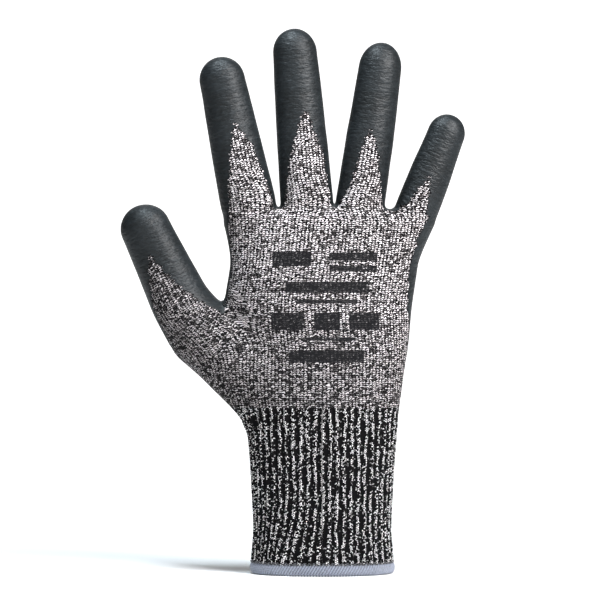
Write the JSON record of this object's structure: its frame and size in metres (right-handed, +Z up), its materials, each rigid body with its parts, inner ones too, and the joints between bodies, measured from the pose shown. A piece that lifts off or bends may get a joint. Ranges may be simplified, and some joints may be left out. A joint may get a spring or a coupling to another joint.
{
  "type": "cut resistant glove",
  "caption": "Right-hand cut resistant work glove: grey melange knit, black dipped palm and fingertips, ribbed cuff with an overlocked hem, and fingers and thumb that bend.",
  "frame": {"origin": "middle of the cuff's opening, at the hem's lowest edge", "axes": "+X across the palm towards the little finger, +Y from the back of the hand to the palm, +Z up the fingers"},
  "size_m": [0.1576, 0.0432, 0.2498],
  "materials": {
    "knit": "fine melange knit",
    "coating": "matt foam rubber",
    "rib": "ribbed melange knit",
    "hem": "overlocked thread",
    "elastic": "covered elastic thread"
  },
  "bodies": {
    "cuff": {"hem_band": "hem", "cuff_rib": "rib", "cuff_elastic_threads": "elastic"},
    "palm": {"palm_liner": "knit", "palm_coating": "coating"},
    "knuckle_band": {"knuckle_liner": "knit", "knuckle_coating": "coating"},
    "index_base": {"index_base_liner": "knit", "index_base_coating": "coating"},
    "index_mid": {"index_mid_liner": "knit", "index_mid_coating": "coating"},
    "index_tip": {"index_tip_liner": "knit", "index_tip_coating": "coating"},
    "middle_base": {"middle_base_liner": "knit", "middle_base_coating": "coating"},
    "middle_mid": {"middle_mid_liner": "knit", "middle_mid_coating": "coating"},
    "middle_tip": {"middle_tip_liner": "knit", "middle_tip_coating": "coating"},
    "ring_base": {"ring_base_liner": "knit", "ring_base_coating": "coating"},
    "ring_mid": {"ring_mid_liner": "knit", "ring_mid_coating": "coating"},
    "ring_tip": {"ring_tip_liner": "knit", "ring_tip_coating": "coating"},
    "little_base": {"little_base_liner": "knit", "little_base_coating": "coating"},
    "little_mid": {"little_mid_liner": "knit", "little_mid_coating": "coating"},
    "little_tip": {"little_tip_liner": "knit", "little_tip_coating": "coating"},
    "thumb_base": {"thumb_base_liner": "knit", "thumb_base_coating": "coating"},
    "thumb_tip": {"thumb_tip_liner": "knit", "thumb_tip_coating": "coating"}
  },
  "joints": [
    {"name": "wrist_flex", "type": "hinge", "parent": "cuff", "child": "palm", "pos_m": [0, 0.002, 0.076], "axis": [-1, 0, 0], "range_deg": [-35, 45], "stiffness_Nm_per_rad": 0.6},
    {"name": "knuckle_fold", "type": "hinge", "parent": "palm", "child": "knuckle_band", "pos_m": [0, 0.002, 0.149], "axis": [-1, 0, 0], "range_deg": [-15, 35], "stiffness_Nm_per_rad": 0.3},
    {"name": "index_root_flex", "type": "hinge", "parent": "knuckle_band", "child": "index_base", "pos_m": [-0.03577, 0.002, 0.1778], "axis": [-0.9781, 0, -0.2079], "range_deg": [-10, 55], "stiffness_Nm_per_rad": 0.1},
    {"name": "index_middle_flex", "type": "hinge", "parent": "index_base", "child": "index_mid", "pos_m": [-0.04014, 0.002, 0.19834], "axis": [-0.9781, 0, -0.2079], "range_deg": [0, 80], "stiffness_Nm_per_rad": 0.06},
    {"name": "index_end_flex", "type": "hinge", "parent": "index_mid", "child": "index_tip", "pos_m": [-0.0444, 0.002, 0.2184], "axis": [-0.9781, 0, -0.2079], "range_deg": [0, 40], "stiffness_Nm_per_rad": 0.04},
    {"name": "middle_root_flex", "type": "hinge", "parent": "knuckle_band", "child": "middle_base", "pos_m": [-0.00775, 0.002, 0.17847], "axis": [-0.9969, 0, -0.0785], "range_deg": [-10, 55], "stiffness_Nm_per_rad": 0.1},
    {"name": "middle_middle_flex", "type": "hinge", "parent": "middle_base", "child": "middle_mid", "pos_m": [-0.00967, 0.002, 0.2029], "axis": [-0.9969, 0, -0.0785], "range_deg": [0, 80], "stiffness_Nm_per_rad": 0.06},
    {"name": "middle_end_flex", "type": "hinge", "parent": "middle_mid", "child": "middle_tip", "pos_m": [-0.01155, 0.002, 0.22682], "axis": [-0.9969, 0, -0.0785], "range_deg": [0, 40], "stiffness_Nm_per_rad": 0.04},
    {"name": "ring_root_flex", "type": "hinge", "parent": "knuckle_band", "child": "ring_base", "pos_m": [0.01851, 0.002, 0.1769], "axis": [-0.9893, 0, 0.1461], "range_deg": [-10, 55], "stiffness_Nm_per_rad": 0.1},
    {"name": "ring_middle_flex", "type": "hinge", "parent": "ring_base", "child": "ring_mid", "pos_m": [0.02187, 0.002, 0.19966], "axis": [-0.9893, 0, 0.1461], "range_deg": [0, 80], "stiffness_Nm_per_rad": 0.06},
    {"name": "ring_end_flex", "type": "hinge", "parent": "ring_mid", "child": "ring_tip", "pos_m": [0.02523, 0.002, 0.22241], "axis": [-0.9893, 0, 0.1461], "range_deg": [0, 40], "stiffness_Nm_per_rad": 0.04},
    {"name": "little_root_flex", "type": "hinge", "parent": "knuckle_band", "child": "little_base", "pos_m": [0.04575, 0.002, 0.17298], "axis": [-0.9304, 0, 0.3665], "range_deg": [-10, 55], "stiffness_Nm_per_rad": 0.1},
    {"name": "little_middle_flex", "type": "hinge", "parent": "little_base", "child": "little_mid", "pos_m": [0.05125, 0.002, 0.18693], "axis": [-0.9304, 0, 0.3665], "range_deg": [0, 80], "stiffness_Nm_per_rad": 0.06},
    {"name": "little_end_flex", "type": "hinge", "parent": "little_mid", "child": "little_tip", "pos_m": [0.05564, 0.002, 0.1981], "axis": [-0.9304, 0, 0.3665], "range_deg": [0, 40], "stiffness_Nm_per_rad": 0.04},
    {"name": "thumb_root_flex", "type": "hinge", "parent": "palm", "child": "thumb_base", "pos_m": [-0.06821, 0.00188, 0.13206], "axis": [-0.8482, 0.342, -0.4045], "range_deg": [-10, 35], "stiffness_Nm_per_rad": 0.1},
    {"name": "thumb_end_flex", "type": "hinge", "parent": "thumb_base", "child": "thumb_tip", "pos_m": [-0.07531, 0.00188, 0.14696], "axis": [-0.8482, 0.342, -0.4045], "range_deg": [0, 50], "stiffness_Nm_per_rad": 0.06}
  ],
  "couplings": [
    {"joint": "index_end_flex", "follows": "index_middle_flex", "ratio": 0.5},
    {"joint": "middle_end_flex", "follows": "middle_middle_flex", "ratio": 0.5},
    {"joint": "ring_end_flex", "follows": "ring_middle_flex", "ratio": 0.5},
    {"joint": "little_end_flex", "follows": "little_middle_flex", "ratio": 0.5}
  ]
}
